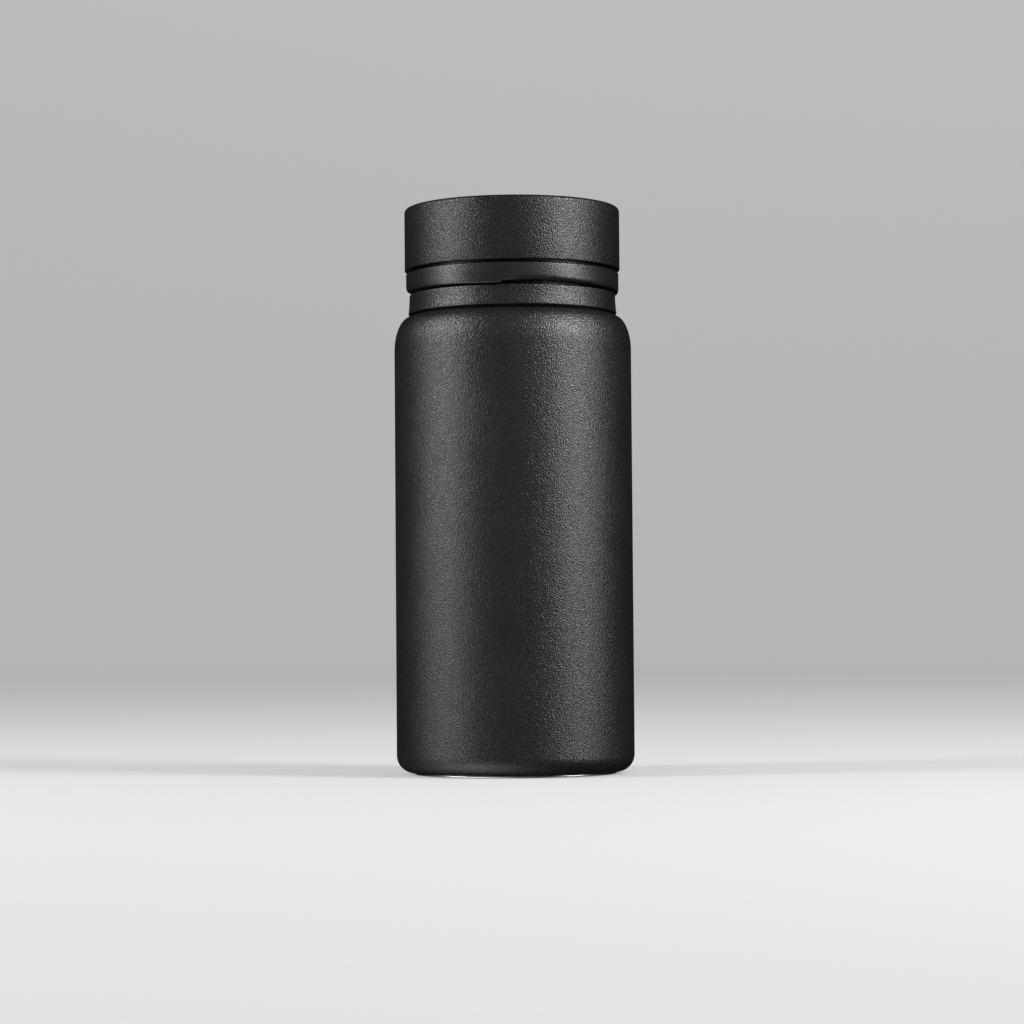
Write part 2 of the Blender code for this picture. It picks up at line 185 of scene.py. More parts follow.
# The floor lies a hair below the plate, so that their faces don't coincide, and is open under it.
FLOOR_HEIGHT = -0.05
FLOOR_HOLE = PLATE_RADIUS - 1.0
FLOOR_REACH = 2600.0
FLOOR_SWEEP = 1200.0
WALL_TOP = 3600.0

# Soft boxes: azimuth in degrees from the front, height, width and length in metres, and power in watts.
LIGHT_DISTANCE = 0.9
LIGHT_TARGET = (0, 0, 0.09)
SOFT_BOXES = {
    "left_low": (-71, 0.10, (0.24, 0.32), 2.45),
    "left_high": (-74, 0.61, (0.26, 0.28), 8.4),
    "right_low": (67, 0.10, (0.32, 0.32), 3.0),
    "right_high": (61, 0.62, (0.32, 0.30), 12.8),
}

# Glows of the surround: azimuth and elevation in degrees, strength, and the power that narrows each.
GLOWS = (
    (-59, -51, 3.8, 11),
    (8, 33, 0.6, 16),
    (0, 0, 0.05, 3),
    (0, 90, 0.05, 8),
)

# Camera, in metres, degrees and, for its lens and sensor, millimetres.
CAMERA_DISTANCE = 0.930
CAMERA_HEIGHT = 0.0409
CAMERA_SIDE = -0.0006
CAMERA_PITCH = 2.43
CAMERA_ROLL = -0.43
CAMERA_LENS = 106.2
CAMERA_SENSOR = 36.0


# ---------------------------------------------------------------- outlines

def arc(center, radii, start, end, count):
    """Points along an elliptical arc, from one angle to another in degrees."""
    points = []
    for index in range(count):
        angle = math.radians(start + (end - start) * index / (count - 1))
        points.append((center[0] + radii[0] * math.cos(angle), center[1] + radii[1] * math.sin(angle)))
    return points


def rounded(corners, steps):
    """Turn (radius, height, fillet) corners into points, each corner as a small curve of that fillet."""
    points = []
    for index, (r, z, fillet) in enumerate(corners):
        if not fillet:
            points.append((r, z))
            continue
        here = Vector((r, z))
        before = Vector(corners[index - 1][:2]) - here
        after = Vector(corners[(index + 1) % len(corners)][:2]) - here
        half = before.angle(after) / 2
        reach = fillet / math.tan(half)
        reach = min(reach, before.length * 0.49, after.length * 0.49)
        start = here + before.normalized() * reach
        end = here + after.normalized() * reach
        for step in range(steps + 1):
            share = step / steps
            near = start.lerp(here, share).lerp(here.lerp(end, share), share)
            points.append((near.x, near.y))
    return points


def with_rows(points, radius, low, high):
    """Add closely spaced points to the straight wall at a radius, between two heights."""
    count = math.ceil((high - low) / THREAD_ROW)
    rows = [low + (high - low) * index / count for index in range(count + 1)]
    margin = 1e-3
    out = []
    for index, point in enumerate(points):
        out.append(point)
        nearby = points[(index + 1) % len(points)]
        on_wall = abs(point[0] - radius) < SAME and abs(nearby[0] - radius) < SAME
        if not on_wall:
            continue
        bottom, top = sorted((point[1], nearby[1]))
        between = [z for z in rows if bottom + margin < z < top - margin]
        out += [(radius, z) for z in sorted(between, reverse=point[1] > nearby[1])]
    return out


def smooth_step(value):
    value = min(max(value, 0.0), 1.0)
    return value * value * (3 - 2 * value)


def thread_rise(angle, height, start_height):
    """How far up its flank a point stands, from 0 at the root to 1 on the crest, over both starts."""
    best = 0.0
    half_root, half_crest = THREAD_ROOT_WIDTH / 2, THREAD_CREST_WIDTH / 2
    for start in range(THREAD_STARTS):
        along = (angle - math.tau * start / THREAD_STARTS) % math.tau
        if along > math.tau * THREAD_TURNS:
            continue
        center = start_height + THREAD_LEAD * along / math.tau
        flank = (half_root - abs(height - center)) / (half_root - half_crest)
        fade = min(1.0, along / THREAD_FADE, (math.tau * THREAD_TURNS - along) / THREAD_FADE)
        best = max(best, smooth_step(flank) * smooth_step(fade))
    return best


def threaded(wall_radius, depth, start_height):
    """A shaping function that raises a thread on the wall at that radius."""
    low = start_height - THREAD_ROOT_WIDTH
    high = start_height + THREAD_LEAD * THREAD_TURNS + THREAD_ROOT_WIDTH

    def shape(radius, height, angle):
        if abs(radius - wall_radius) > SAME or not low < height < high:
            return radius, height
        return radius + depth * thread_rise(angle, height, start_height), height

    return shape, low, high


# ---------------------------------------------------------------- meshes

def even_angles(count=SEGMENTS):
    return [math.tau * index / count for index in range(count)]


def lathe(name, outline, shapes=(), angles=None, sharp=40, closed=True):
    """Turn an outline about Z into a mesh, closed unless told not to, moving its points by the shapes."""
    angles = angles or even_angles()
    bm = bmesh.new()
    rows = []
    for radius, height in outline:
        if radius < SAME:
            rows.append([bm.verts.new((0, 0, height * MM))])
            continue
        row = []
        for angle in angles:
            r, z = radius, height
            for shape in shapes:
                r, z = shape(r, z, angle)
            row.append(bm.verts.new((r * MM * math.cos(angle), r * MM * math.sin(angle), z * MM)))
        rows.append(row)
    pairs = list(zip(rows, rows[1:]))
    if closed and outline[0][0] > SAME:
        pairs.append((rows[-1], rows[0]))
    for upper, lower in pairs:
        for index in range(len(angles)):
            following = (index + 1) % len(angles)
            if len(upper) == 1:
                bm.faces.new((upper[0], lower[index], lower[following]))
            elif len(lower) == 1:
                bm.faces.new((upper[index], lower[0], upper[following]))
            else:
                bm.faces.new((upper[index], lower[index], lower[following], upper[following]))
    return mesh_object(name, bm, sharp)


def mesh_object(name, bm, sharp):
    bmesh.ops.recalc_face_normals(bm, faces=bm.faces)
    mesh = bpy.data.meshes.new(name)
    bm.to_mesh(mesh)
    bm.free()
    mesh.shade_smooth()
    mesh.set_sharp_from_angle(angle=math.radians(sharp))
    item = bpy.data.objects.new(name, mesh)
    bpy.context.scene.collection.objects.link(item)
    return item


def place(item, material, body, slot, *nodes):
    """Give a piece its material and body, and hide the CAD nodes it stands for. The slot argument is not
    used.
    """
    item.data.materials.append(material)
    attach(item, body)
    if nodes:
        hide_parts(*nodes)
    return item


# ---------------------------------------------------------------- materials

def new_material(name, color, roughness, metallic=0.0, specular=0.5):
    material = bpy.data.materials.new(name)
    material.use_nodes = True
    shader = material.node_tree.nodes["Principled BSDF"]
    shader.inputs["Base Color"].default_value = (*color, 1.0)
    shader.inputs["Roughness"].default_value = roughness
    shader.inputs["Metallic"].default_value = metallic
    shader.inputs["Specular IOR Level"].default_value = specular
    return material, shader


def add_node(material, kind, **values):
    node = material.node_tree.nodes.new(kind)
    for key, value in values.items():
        if key in node.inputs:
            node.inputs[key].default_value = value
        else:
            setattr(node, key, value)
    return node


def join(material, source, target):
    material.node_tree.links.new(source, target)


def object_noise(material, size, detail=2.0, roughness=0.5, stretch=(1, 1, 1)):
    """Noise in the object's own metres, with features about size millimetres across."""
    where = add_node(material, "ShaderNodeTexCoord")
    mapping = add_node(material, "ShaderNodeMapping", Scale=stretch)
    noise = add_node(material, "ShaderNodeTexNoise", Detail=detail, Roughness=roughness)
    noise.inputs["Scale"].default_value = 1 / (size * MM)
    join(material, where.outputs["Object"], mapping.inputs["Vector"])
    join(material, mapping.outputs["Vector"], noise.inputs["Vector"])
    return noise.outputs["Fac"]


def vary_roughness(material, shader, value, low, high):
    """Vary a shader's roughness from low to high along the middle of a noise's range."""
    node = add_node(material, "ShaderNodeMapRange")
    node.inputs["From Min"].default_value = 0.3
    node.inputs["From Max"].default_value = 0.7
    node.inputs["To Min"].default_value = low
    node.inputs["To Max"].default_value = high
    join(material, value, node.inputs["Value"])
    join(material, node.outputs["Result"], shader.inputs["Roughness"])


def add_bump(material, height, distance, strength=1.0):
    """Bump that is distance millimetres high, as a node for a shader or for finer bump."""
    bump = add_node(material, "ShaderNodeBump", Strength=strength, Distance=distance * MM)
    join(material, height, bump.inputs["Height"])
    return bump


def bumpy(material, shader, height, distance, strength=1.0):
    """Give a shader bump, and return the bump's node, so that broader bump can go under it."""
    bump = add_bump(material, height, distance, strength)
    join(material, bump.outputs["Normal"], shader.inputs["Normal"])
    return bump


def tint(material, shader, factor, first, second):
    """Colour a shader from one tone to another along the middle of a noise's range."""
    ramp = add_node(material, "ShaderNodeValToRGB")
    ramp.color_ramp.elements[0].color = (*first, 1.0)
    ramp.color_ramp.elements[1].color = (*second, 1.0)
    ramp.color_ramp.elements[0].position = 0.35
    ramp.color_ramp.elements[1].position = 0.65
    join(material, factor, ramp.inputs["Fac"])
    join(material, ramp.outputs["Color"], shader.inputs["Base Color"])


def powder_coat(name, roughness, specular):
    """Baked-on powder: a fine pebbled grain over broader flow, with faint changes of tone and sheen."""
    material, shader = new_material(name, (0.0045, 0.0045, 0.005), roughness, specular=specular)
    grain = object_noise(material, GRAIN_SIZE, detail=0.0)
    flow = object_noise(material, 2.6, detail=1.0)
    sheen = object_noise(material, 18.0)
    tint(material, shader, grain, (0.0022, 0.0022, 0.0026), (0.0082, 0.0082, 0.009))
    vary_roughness(material, shader, sheen, roughness - 0.025, roughness + 0.025)
    broad = add_bump(material, flow, distance=0.03, strength=0.6)
    fine = bumpy(material, shader, grain, distance=GRAIN_DEPTH)
    join(material, broad.outputs["Normal"], fine.inputs["Normal"])
    return material


def satin_plastic(name, color, roughness, grain_depth=0.05):
    """Moulded plastic with a fine spark-eroded texture."""
    material, shader = new_material(name, color, roughness)
    fine = object_noise(material, GRAIN_SIZE, detail=0.0)
    flow = object_noise(material, 9.0)
    vary_roughness(material, shader, flow, roughness - 0.03, roughness + 0.03)
    bumpy(material, shader, fine, distance=grain_depth)
    return material


def satin_steel(name, roughness, stretch):
    """Stainless steel with drawn lines along the axis whose stretch is the smallest."""
    material, shader = new_material(name, (0.58, 0.575, 0.56), roughness, metallic=1.0)
    lines = object_noise(material, 0.25, detail=3.0, roughness=0.6, stretch=stretch)
    cloud = object_noise(material, 6.0)
    tint(material, shader, cloud, (0.52, 0.515, 0.50), (0.62, 0.615, 0.60))
    vary_roughness(material, shader, lines, roughness - 0.06, roughness + 0.08)
    bumpy(material, shader, lines, distance=0.004, strength=0.4)
    return material


def turned_steel(name, roughness):
    """Bare steel with fine concentric lines about the Z axis."""
    material, shader = new_material(name, (0.56, 0.56, 0.555), roughness, metallic=1.0)
    where = add_node(material, "ShaderNodeTexCoord")
    apart = add_node(material, "ShaderNodeSeparateXYZ")
    join(material, where.outputs["Object"], apart.inputs["Vector"])
    flat = add_node(material, "ShaderNodeCombineXYZ")
    join(material, apart.outputs["X"], flat.inputs["X"])
    join(material, apart.outputs["Y"], flat.inputs["Y"])
    reach = add_node(material, "ShaderNodeVectorMath", operation="LENGTH")
    join(material, flat.outputs["Vector"], reach.inputs[0])
    turn = add_node(material, "ShaderNodeMath", operation="ARCTAN2")
    join(material, apart.outputs["Y"], turn.inputs[0])
    join(material, apart.outputs["X"], turn.inputs[1])
    # A whole turn counts as a few millimetres, so that the noise is drawn out into rings.
    stretched_turn = add_node(material, "ShaderNodeMath", operation="MULTIPLY")
    stretched_turn.inputs[1].default_value = 0.0004
    join(material, turn.outputs["Value"], stretched_turn.inputs[0])
    polar = add_node(material, "ShaderNodeCombineXYZ")
    join(material, reach.outputs["Value"], polar.inputs["X"])
    join(material, stretched_turn.outputs["Value"], polar.inputs["Y"])
    join(material, apart.outputs["Z"], polar.inputs["Z"])
    lines = add_node(material, "ShaderNodeTexNoise", Scale=5200.0, Detail=2.0)
    join(material, polar.outputs["Vector"], lines.inputs["Vector"])
    vary_roughness(material, shader, lines.outputs["Fac"], roughness - 0.08, roughness + 0.1)
    bumpy(material, shader, lines.outputs["Fac"], distance=0.006, strength=0.5)
    return material


def soft_silicone(name):
    material, shader = new_material(name, (0.30, 0.31, 0.32), 0.5)
    shader.inputs["Subsurface Weight"].default_value = 0.15
    shader.inputs["Subsurface Radius"].default_value = (0.002, 0.002, 0.002)
    shader.inputs["Subsurface Scale"].default_value = 0.5
    dust = object_noise(material, 1.2, detail=3.0)
    tint(material, shader, dust, (0.27, 0.28, 0.29), (0.33, 0.34, 0.35))
    bumpy(material, shader, dust, distance=0.01, strength=0.4)
    return material


def copper_foil(name):
    material, shader = new_material(name, (0.78, 0.40, 0.25), 0.22, metallic=1.0)
    crease = object_noise(material, 7.0, detail=3.0, roughness=0.6)
    bumpy(material, shader, crease, distance=0.25, strength=0.6)
    return material


def rough_metal(name, color, roughness, size):
    material, shader = new_material(name, color, roughness, metallic=1.0)
    grain = object_noise(material, size, detail=4.0, roughness=0.6)
    vary_roughness(material, shader, grain, roughness - 0.1, roughness + 0.1)
    bumpy(material, shader, grain, distance=0.08, strength=0.6)
    return material


def cell_foam(name):
    material, shader = new_material(name, (0.72, 0.70, 0.64), 0.9, specular=0.2)
    where = add_node(material, "ShaderNodeTexCoord")
    cells = add_node(material, "ShaderNodeTexVoronoi", Scale=1600.0)
    join(material, where.outputs["Object"], cells.inputs["Vector"])
    bumpy(material, shader, cells.outputs["Distance"], distance=0.15, strength=0.8)
    return material


# ---------------------------------------------------------------- pieces

def band_face(top):
    """The neck band's face, which flares out towards a small round lip at its lower edge."""
    lip_center = (BAND_RADIUS - BAND_LIP_ROUND[0], BAND_BOTTOM + BAND_LIP_ROUND[1])
    count = 8
    points = []
    for index in range(1, count):
        share = index / count
        points.append((BAND_RADIUS - BAND_FLARE * (1 - share * share), top + (lip_center[1] - top) * share))
    return points + arc(lip_center, BAND_LIP_ROUND, 0, -90, 7)


def shell_outline():
    """The outer wall from the neck's lip down its outside to the base fillet, and back up its inside."""
    fillet_center = (BODY_RADIUS - BASE_FILLET, SHELL_BOTTOM + BASE_FILLET)
    shoulder_center = (BODY_RADIUS - SHOULDER_WIDTH, SHOULDER_START)
    band_top_radius = BAND_RADIUS - BAND_FLARE
    band_top_center = (band_top_radius - BAND_TOP_ROUND, LEDGE_HEIGHT - BAND_TOP_ROUND)
    inner_shoulder = (SHOULDER_WIDTH - SHELL_SHEET, SHOULDER_RISE - SHELL_SHEET)
    inner_groove = GROOVE_RADIUS - SHELL_SHEET
    inner_band = band_top_radius - SHELL_SHEET
    inner_neck = NECK_RADIUS - SHELL_SHEET
    outline = rounded([
        (inner_neck, NECK_TOP, 0.1),
        (NECK_RADIUS, NECK_TOP, 0.2),
        (NECK_RADIUS, LEDGE_HEIGHT, 0),
    ], 4)
    outline += arc(band_top_center, (BAND_TOP_ROUND,) * 2, 90, 0, 7)
    outline += band_face(band_top_center[1])
    outline += [(GROOVE_RADIUS, BAND_BOTTOM), (GROOVE_RADIUS, SHOULDER_TOP - GROOVE_DROP)]
    outline += arc(shoulder_center, (SHOULDER_WIDTH, SHOULDER_RISE), SHOULDER_TOP_ANGLE, 0, 37)
    outline += arc(fillet_center, (BASE_FILLET,) * 2, 0, -90, 19)
    outline += arc(fillet_center, (BASE_FILLET - SHELL_SHEET,) * 2, -90, 0, 7)
    outline += arc(shoulder_center, inner_shoulder, 0, SHOULDER_INNER_ANGLE, 7)
    outline += [
        (inner_groove, SHOULDER_TOP - SHELL_SHEET),
        (inner_groove, BAND_BOTTOM + SHELL_SHEET),
        (inner_band, BAND_BOTTOM + 2 * SHELL_SHEET),
        (inner_band, LEDGE_HEIGHT - SHELL_SHEET),
        (inner_neck, LEDGE_HEIGHT - SHELL_SHEET),
    ]
    return outline


def paint_shade_in_groove(shell):
    """Paint shade onto the groove's walls with a dull, dark material, so that the groove reads as one dark
    line, as in the photo.
    """
    # Painted shade: this dark, dull material stands in for the shade that falls in the recess under the band.
    material, _ = new_material("groove_painted_shade", (0.004, 0.004, 0.004), 0.7, specular=0.1)
    shell.data.materials.append(material)
    margin = 0.05
    low = SHOULDER_TOP - GROOVE_DROP - margin
    high = BAND_BOTTOM + margin
    for face in shell.data.polygons:
        corners = [shell.data.vertices[index].co / MM for index in face.vertices]
        in_height = all(low < corner.z < high for corner in corners)
        outside = all(corner.xy.length > GROOVE_RADIUS - margin for corner in corners)
        if in_height and outside:
            face.material_index = 1


def make_shell(coat):
    shape, low, high = threaded(NECK_RADIUS, THREAD_DEPTH, NECK_THREAD_START)
    outline = with_rows(shell_outline(), NECK_RADIUS, low, high)
    shell = place(lathe("coated_shell", outline, [shape]), coat, "bottle", "shell_coat", "outer_shell")
    paint_shade_in_groove(shell)


def liner_side(radius, neck_radius):
    """The liner's wall from the neck down to the seam, along a smooth S-shaped waist."""
    count = 18
    points = []
    for index in range(count + 1):
        share = index / count
        reach = smooth_step(share) ** WAIST_POWER
        height = WAIST_TOP + (WAIST_BOTTOM - WAIST_TOP) * share
        points.append((neck_radius + (radius - neck_radius) * reach, height))
    return points + [(radius, LINER_SEAM)]


def make_liner(steel):
    lip_bottom = NECK_TOP + PLAY
    bore = LINER_NECK_RADIUS - LINER_SHEET
    lip_radius = NECK_RADIUS + MOUTH_LIP_OVERHANG
    outline = rounded([
        (bore, MOUTH_HEIGHT, EDGE_ROUND),
        (lip_radius, MOUTH_HEIGHT, MOUTH_LIP_ROUND),
        (lip_radius, lip_bottom, MOUTH_LIP_ROUND),
        (LINER_NECK_RADIUS, lip_bottom, 0),
    ], 5)
    outline += liner_side(LINER_RADIUS, LINER_NECK_RADIUS)
    outline += reversed(liner_side(LINER_RADIUS - LINER_SHEET, bore))
    place(lathe("liner_wall", outline), steel, "bottle", "liner_steel", "inner_liner")


def make_liner_dish(steel):
    center = (LINER_RADIUS - LINER_CORNER, LINER_FLOOR + LINER_CORNER)
    dish_top = LINER_SEAM - PLAY
    floor_top = LINER_FLOOR + LINER_SHEET
    outline = [(0, floor_top), (LINER_FLAT_RADIUS, floor_top)]
    outline += arc(center, (LINER_CORNER - LINER_SHEET,) * 2, -90, 0, 12)
    outline += [(LINER_RADIUS - LINER_SHEET, dish_top), (LINER_RADIUS, dish_top)]
    outline += arc(center, (LINER_CORNER,) * 2, 0, -90, 12)
    outline += [(0, LINER_FLOOR)]
    place(lathe("liner_dish", outline), steel, "bottle", "liner_steel", "liner_bottom")


def make_liner_weld(steel):
    """The weld bead that closes the seam between the liner's wall and its dish."""
    radius = LINER_RADIUS - LINER_SHEET / 2
    outline = arc((radius, LINER_SEAM - PLAY / 2), WELD_RADII, 0, 330, 12)

    def ripple(r, z, angle):
        return r + WELD_RIPPLE_DEPTH * math.sin(angle * WELD_RIPPLES), z

    bead = lathe("liner_weld", outline, [ripple], even_angles(4 * WELD_RIPPLES))
    place(bead, steel, "bottle", "liner_steel")


def make_base(steel):
    outline = rounded([
        (0, PLATE_TOP, 0),
        (PLATE_RADIUS, PLATE_TOP, 0.15),
        (PLATE_RADIUS, 0, 0.25),
        (STAMP_OUTER, 0, 0.4),
        (STAMP_OUTER - STAMP_SLOPE, STAMP_DEPTH, 0.3),
        (STAMP_INNER + STAMP_SLOPE, STAMP_DEPTH, 0.3),
        (STAMP_INNER, 0, 0.4),
        (0, 0, 0),
    ], 5)
    place(lathe("standing_plate", outline, sharp=50), steel, "bottle", "bare_steel", "base_plate")


def ramp_gap(angle):
    """How far the ring's lower edge is cut back at an angle, from 0 to 1.

    It rises over a sharp step and a short run, then falls slowly back to 0.
    """
    span = math.tau / RAMP_COUNT
    along = (angle - RAMP_STEP_ANGLE) % span
    rise = RAMP_STEP_SHARE * smooth_step(along / RAMP_STEP_WIDTH)
    rise += (1 - RAMP_STEP_SHARE) * smooth_step(along / RAMP_RUN)
    return rise * max(0.0, 1 - along / (span - RAMP_LAND_ANGLE))


def ramp_shape(radius, height, angle):
    """Lift the ring's lower edge along its ramps; its corner is rounder where it is cut back further."""
    if height > RING_BOTTOM + RAMP_REACH or radius < COLLAR_BORE - SAME:
        return radius, height
    gap = ramp_gap(angle)
    share = 1 - (height - RING_BOTTOM) / RAMP_REACH
    lifted = height + RAMP_RISE * gap * share
    on_face = radius > RING_RADIUS - RAMP_ROUND_DEPTH
    if not on_face:
        return radius, lifted
    into = max(0.0, 1 - (lifted - RING_BOTTOM - RAMP_RISE * gap) / RAMP_ROUND_HEIGHT)
    return radius - RAMP_ROUND_DEPTH * gap * into ** RAMP_ROUND_POWER, lifted


def ramp_angles():
    """Even angles, with close ones along each step so that it stays smooth."""
    angles = even_angles()
    count = 6
    clear = RAMP_STEP_WIDTH * 0.6
    for index in range(RAMP_COUNT):
        step = (RAMP_STEP_ANGLE + math.tau / RAMP_COUNT * index) % math.tau
        middle = step + RAMP_STEP_WIDTH / 2
        angles = [angle for angle in angles if abs(angle - middle) > clear]
        angles += [step + RAMP_STEP_WIDTH * part / count for part in range(count + 1)]
    return sorted(angles)


def make_collar(plastic):
    corners = [
        (SPOUT_INNER_RADIUS, SPOUT_TOP, 0.7),
        (SPOUT_RADIUS, SPOUT_TOP, 0.8),
        (SPOUT_RADIUS, COLLAR_DECK, 1.3),
        (COLLAR_WALL_RADIUS, COLLAR_DECK, 0.7),
        (COLLAR_WALL_RADIUS, RING_TOP, 0.3),
        (RING_RADIUS, RING_TOP, 0.22),
        (RING_RADIUS, RING_BOTTOM, 0.35),
        (COLLAR_BORE, RING_BOTTOM, 0.3),
        (COLLAR_BORE, COLLAR_CEILING, 0.3),
        (PLUG_RADIUS, COLLAR_CEILING, 0.3),
        (PLUG_RADIUS, PLUG_BOTTOM, 0.4),
        (PLUG_RADIUS - PLUG_WALL, PLUG_BOTTOM, 0.4),
        (PLUG_RADIUS - PLUG_WALL, COLLAR_CEILING + PLUG_RECESS, 0.8),
        (SPOUT_INNER_RADIUS, COLLAR_DECK, 1.5),
    ]
    outline = rounded(corners, 5)
    bore_start = NECK_THREAD_START - BORE_THREAD_DROP
    inner_shape, inner_low, inner_high = threaded(COLLAR_BORE, -THREAD_DEPTH, bore_start)
    outer_shape, outer_low, outer_high = threaded(COLLAR_WALL_RADIUS, THREAD_DEPTH, CAP_THREAD_START)
    ramp_low, ramp_high = RING_BOTTOM + 0.1, RING_BOTTOM + RAMP_REACH
    outline = with_rows(outline, RING_RADIUS, ramp_low, ramp_high)
    outline = with_rows(outline, COLLAR_BORE, inner_low, inner_high)
    outline = with_rows(outline, COLLAR_WALL_RADIUS, outer_low, outer_high)
    ring = lathe("drinking_collar", outline, [inner_shape, outer_shape, ramp_shape], ramp_angles())
    place(ring, plastic, "collar", "collar_plastic", "collar")


def gasket_outline(node, inner, bead, channel, outer_round):
    """A flat gasket that presses with a bead along each edge, and a shallow channel between the beads."""
    bottom, top, outer = bottom_mm(node), top_mm(node), radius_mm(node)
    slope = 0.2
    return rounded([
        (inner, top, EDGE_ROUND),
        (outer, top, outer_round),
        (outer, bottom, outer_round),
        (outer - bead, bottom, 0.1),
        (outer - bead - slope, bottom + channel, 0.1),
        (inner + bead, bottom + channel, 0.1),
        (inner + bead - slope, bottom, 0.1),
        (inner, bottom, EDGE_ROUND),
    ], 4)


def make_collar_gasket(silicone):
    outline = gasket_outline("collar_gasket", PLUG_RADIUS + PLAY, bead=0.9, channel=0.2, outer_round=0.3)
    place(lathe("mouth_gasket", outline), silicone, "collar_gasket", "silicone", "collar_gasket")


def make_cap_skin(coat):
    edge = (CAP_RADIUS - CAP_EDGE_ROUND, CAP_TOP - CAP_EDGE_ROUND)
    inner = CAP_RADIUS - SHELL_SHEET
    outline = [(0, CAP_TOP), (CAP_RADIUS / 2, CAP_TOP)]
    outline += arc(edge, (CAP_EDGE_ROUND,) * 2, 90, 0, 12)
    outline += rounded([
        (CAP_RADIUS, CAP_BOTTOM + CAP_RIM, 0),
        (CAP_RADIUS, CAP_BOTTOM, 0.25),
        (inner, CAP_BOTTOM, 0.2),
        (inner, CAP_BOTTOM + CAP_RIM, 0),
    ], 5)
    outline += arc(edge, (CAP_EDGE_ROUND - SHELL_SHEET,) * 2, 0, 90, 5)
    outline += [(0, CAP_TOP - SHELL_SHEET)]
    place(lathe("cap_skin", outline), coat, "cap", "cap_coat", "cap_shell")


def make_cap_core(plastic):
    corners = [
        (0, CORE_TOP, 0),
        (CORE_RADIUS, CORE_TOP, 0.3),
        (CORE_RADIUS, CORE_BOTTOM, 0.3),
        (CORE_BORE, CORE_BOTTOM, 0.4),
        (CORE_BORE, CORE_CEILING, 0.6),
        (RIB_OUTER, CORE_CEILING, 0.2),
        (RIB_OUTER, CORE_CEILING - RIB_DROP, 0.25),
        (RIB_INNER, CORE_CEILING - RIB_DROP, 0.25),
        (RIB_INNER, CORE_CEILING, 0.3),
        (0, CORE_CEILING, 0),
    ]
    shape, low, high = threaded(CORE_BORE, -THREAD_DEPTH, CAP_THREAD_START - BORE_THREAD_DROP)
    outline = with_rows(rounded(corners, 4), CORE_BORE, low, high)
    place(lathe("cap_liner", outline, [shape]), plastic, "cap", "core_plastic", "cap_core")


def make_cap_seal(silicone):
    outline = gasket_outline("cap_seal", SEAL_BORE, bead=0.8, channel=0.25, outer_round=0.4)
    place(lathe("spout_seal", outline), silicone, "cap_seal", "silicone", "cap_seal")


def finish_hidden_nodes(steel, solder, alloy, copper, foam):
    """The sealed inner pieces keep their CAD shapes and get their own materials."""
    looks = {
        "bottom_cup": steel,
        "getter_clip": steel,
        "seal_bead": solder,
        "getter": alloy,
        "reflector_foil": copper,
        "cap_insulation": foam,
    }
    for name, material in looks.items():
        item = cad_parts[name]
        for slot in item.material_slots:
            slot.material = material


# ---------------------------------------------------------------- studio

def make_floor():
    """A pale floor that sweeps up far away on every side, with a hole that shows the plate's underside.

    It glows a little, and glossy and shadow rays pass it by, so that it stays pale while the bottle stays
    black and the surround's glow from below still reaches the bottle.
    """
    material, shader = new_material("pale_floor", (0.28, 0.28, 0.276), 0.9, specular=0.1)
    shader.inputs["Emission Color"].default_value = (1.0, 1.0, 0.99, 1.0)
    shader.inputs["Emission Strength"].default_value = 0.33
    outline = [(FLOOR_HOLE, FLOOR_HEIGHT), (FLOOR_REACH, FLOOR_HEIGHT)]
    for degrees in range(6, 91, 6):
        turn = math.radians(degrees)
        outline.append((FLOOR_REACH + FLOOR_SWEEP * math.sin(turn), FLOOR_SWEEP * (1 - math.cos(turn))))
    outline.append((FLOOR_REACH + FLOOR_SWEEP, WALL_TOP))
    floor = lathe("pale_floor", outline, angles=even_angles(96), sharp=80, closed=False)
    floor.data.materials.append(material)
    floor.visible_glossy = False
    floor.visible_shadow = False


def make_light(name, place_m, target_m, size, power):
    data = bpy.data.lights.new(name, "AREA")
    data.shape = "RECTANGLE"
    data.size, data.size_y = size
    data.energy = power
    light = bpy.data.objects.new(name, data)
    bpy.context.scene.collection.objects.link(light)
    light.location = place_m
    light.rotation_euler = (Vector(target_m) - Vector(place_m)).to_track_quat("-Z", "Y").to_euler()
    return light


def round_the_axis(azimuth, distance, height):
    """A point at an azimuth from the front, positive to the right, in metres."""
    angle = math.radians(azimuth)
    return (distance * math.sin(angle), -distance * math.cos(angle), height)


def make_lights():
    """Two soft boxes a side, a weak low one and a strong high one, and a wash for the floor."""
    for name, (azimuth, height, size, power) in SOFT_BOXES.items():
        make_light(name, round_the_axis(azimuth, LIGHT_DISTANCE, height), LIGHT_TARGET, size, power)
    wash = make_light("floor_wash", place_m=(0, -0.4, 2.4), target_m=(0, 0.2, 0), size=(2.4, 2.4), power=26.0)
    wash.visible_glossy = False


def direction(azimuth, elevation):
    """A unit vector at an azimuth from the front, positive to the right, and an elevation, in degrees."""
    level = math.cos(math.radians(elevation))
    x, y, _ = round_the_axis(azimuth, level, 0)
    return (x, y, math.sin(math.radians(elevation)))


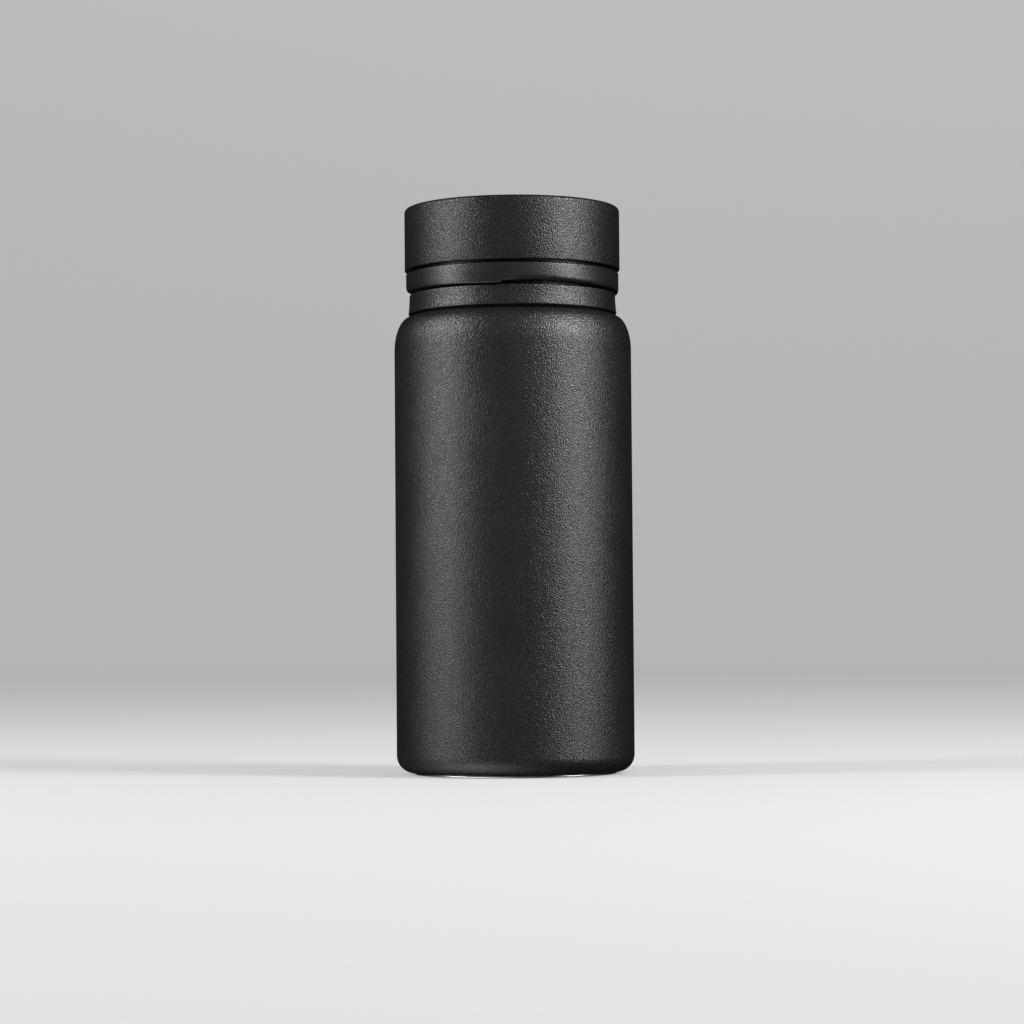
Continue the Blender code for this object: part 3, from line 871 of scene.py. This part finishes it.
def make_world():
    """A dark surround with soft glows: from below on the left, high in front, level in front and overhead."""
    world = bpy.data.worlds.new("studio")
    world.use_nodes = True
    bpy.context.scene.world = world
    background = world.node_tree.nodes["Background"]
    background.inputs["Color"].default_value = (0.94, 0.96, 1.0, 1.0)
    where = add_node(world, "ShaderNodeTexCoord")
    total = None
    for azimuth, elevation, strength, power in GLOWS:
        facing = add_node(world, "ShaderNodeVectorMath", operation="DOT_PRODUCT")
        facing.inputs[1].default_value = direction(azimuth, elevation)
        join(world, where.outputs["Generated"], facing.inputs[0])
        front = add_node(world, "ShaderNodeMath", operation="MAXIMUM")
        front.inputs[1].default_value = 0.0
        join(world, facing.outputs["Value"], front.inputs[0])
        soft = add_node(world, "ShaderNodeMath", operation="POWER")
        soft.inputs[1].default_value = power
        join(world, front.outputs["Value"], soft.inputs[0])
        glow = add_node(world, "ShaderNodeMath", operation="MULTIPLY_ADD")
        glow.inputs[1].default_value = strength
        glow.inputs[2].default_value = 0.0
        join(world, soft.outputs["Value"], glow.inputs[0])
        if total:
            join(world, total, glow.inputs[2])
        total = glow.outputs["Value"]
    join(world, total, background.inputs["Strength"])


def make_camera():
    data = bpy.data.cameras.new("camera")
    data.lens = CAMERA_LENS
    data.sensor_width = CAMERA_SENSOR
    data.clip_start, data.clip_end = 0.05, 20.0
    camera = bpy.data.objects.new("camera", data)
    bpy.context.scene.collection.objects.link(camera)
    pitch = Matrix.Rotation(math.radians(90 + CAMERA_PITCH), 4, "X")
    roll = Matrix.Rotation(math.radians(CAMERA_ROLL), 4, "Z")
    camera.matrix_world = Matrix.Translation((CAMERA_SIDE, -CAMERA_DISTANCE, CAMERA_HEIGHT)) @ pitch @ roll
    bpy.context.scene.camera = camera


def make_bottle():
    body_coat = powder_coat("body_powder_coat", roughness=0.38, specular=0.5)
    cap_coat = powder_coat("cap_powder_coat", roughness=0.38, specular=0.41)
    collar_plastic = satin_plastic("collar_plastic", (0.006, 0.006, 0.0065), roughness=0.35, grain_depth=0.07)
    core_plastic = satin_plastic("core_plastic", (0.008, 0.008, 0.0085), roughness=0.38)
    liner_steel = satin_steel("liner_steel", roughness=0.28, stretch=(1, 1, 0.12))
    plate_steel = turned_steel("plate_steel", roughness=0.30)
    silicone = soft_silicone("grey_silicone")
    solder = rough_metal("dull_solder", (0.42, 0.42, 0.41), roughness=0.45, size=0.8)
    alloy = rough_metal("getter_alloy", (0.11, 0.11, 0.12), roughness=0.6, size=0.3)
    copper = copper_foil("copper_foil")
    foam = cell_foam("cell_foam")
    make_shell(body_coat)
    make_liner(liner_steel)
    make_liner_dish(liner_steel)
    make_liner_weld(liner_steel)
    make_base(plate_steel)
    make_collar(collar_plastic)
    make_collar_gasket(silicone)
    make_cap_skin(cap_coat)
    make_cap_core(core_plastic)
    make_cap_seal(silicone)
    finish_hidden_nodes(liner_steel, solder, alloy, copper, foam)


make_camera()
make_bottle()
make_floor()
make_lights()
make_world()
bpy.context.scene.view_settings.view_transform = "Standard"
